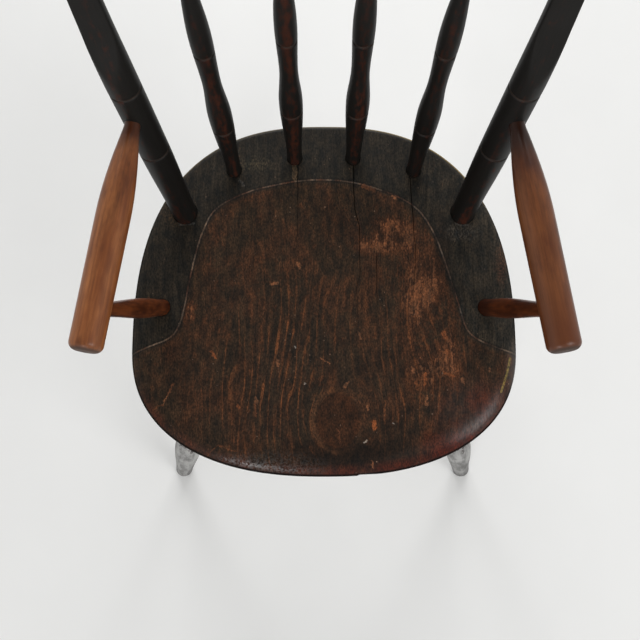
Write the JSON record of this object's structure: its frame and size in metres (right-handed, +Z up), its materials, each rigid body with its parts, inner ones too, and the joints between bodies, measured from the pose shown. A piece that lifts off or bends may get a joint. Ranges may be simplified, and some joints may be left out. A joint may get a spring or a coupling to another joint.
{
  "type": "windsor high chair",
  "caption": "Child's high chair with a saddled plank seat, splayed bamboo-turned legs and stretchers, a spindle back with a bowed crest, and turned arms on posts.",
  "frame": {"origin": "on the floor under the middle of the chair's box", "axes": "+Z up, -Y to the front of the chair, +X to the right as seen from the front"},
  "size_m": [0.4234, 0.3636, 0.8639],
  "materials": {
    "worn_seat": "black paint over red, worn to brown grain on the saddle",
    "black_paint": "old black paint over dark red, rubbed at the edges",
    "bare_wood": "bare reddish brown wood with a satin hand polish",
    "red_brown": "dark red stain worn to brown"
  },
  "bodies": {
    "root": {"seat": "worn_seat", "leg_front_left": "black_paint", "leg_front_right": "black_paint", "leg_rear_left": "black_paint", "leg_rear_right": "black_paint", "foot_rail": "black_paint", "stretcher_rear": "black_paint", "stretcher_left": "black_paint", "stretcher_right": "black_paint", "stile_left": "black_paint", "stile_right": "black_paint", "crest_rail": "black_paint", "crest_pin_left": "bare_wood", "crest_pin_right": "bare_wood", "spindle_1": "black_paint", "spindle_2": "black_paint", "spindle_3": "black_paint", "spindle_4": "black_paint", "arm_left": "bare_wood", "arm_right": "bare_wood", "arm_post_left": "red_brown", "arm_post_right": "red_brown"}
  },
  "joints": []
}
